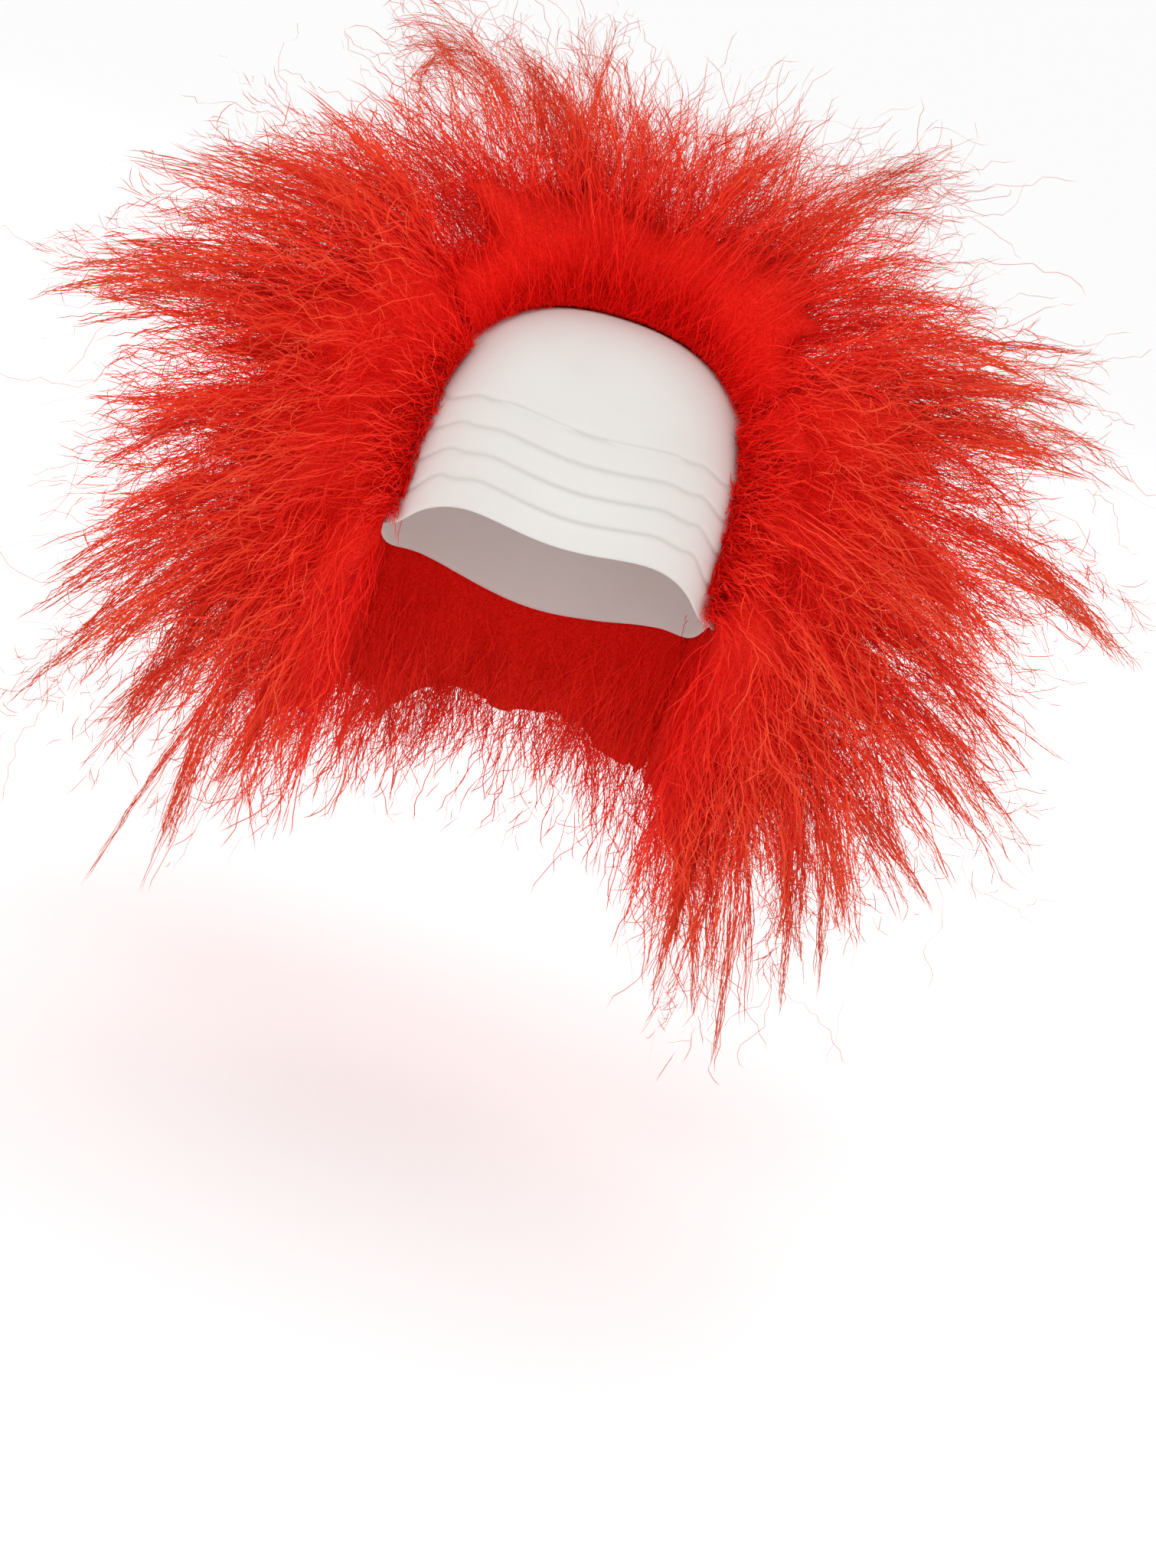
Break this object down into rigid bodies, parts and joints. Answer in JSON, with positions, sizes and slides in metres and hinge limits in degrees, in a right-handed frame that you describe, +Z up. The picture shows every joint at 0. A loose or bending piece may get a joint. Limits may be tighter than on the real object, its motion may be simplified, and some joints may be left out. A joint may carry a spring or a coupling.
{
  "type": "clown wig",
  "caption": "Clown wig: a moulded bald latex cap with a wavy brow edge and forehead creases, and long frizzy hair standing out round its sides, back and crown.",
  "frame": {"origin": "inside of the cap at the top of the crown, where the wig rests on a head", "axes": "+Z up out of the crown, -Y the way the brow faces, +X to the viewer's right seen from the front"},
  "size_m": [0.51, 0.3263, 0.426],
  "materials": {
    "latex": "matt to satin, off-white, slightly translucent at the edge",
    "red_hair": "frizzy crimped fibre, soft sheen, deep red at the roots and lighter orange red at the tips"
  },
  "bodies": {
    "root": {"bald_cap": "latex", "hair_crown": "red_hair", "hair_left": "red_hair", "hair_right": "red_hair", "hair_back": "red_hair"}
  },
  "joints": []
}
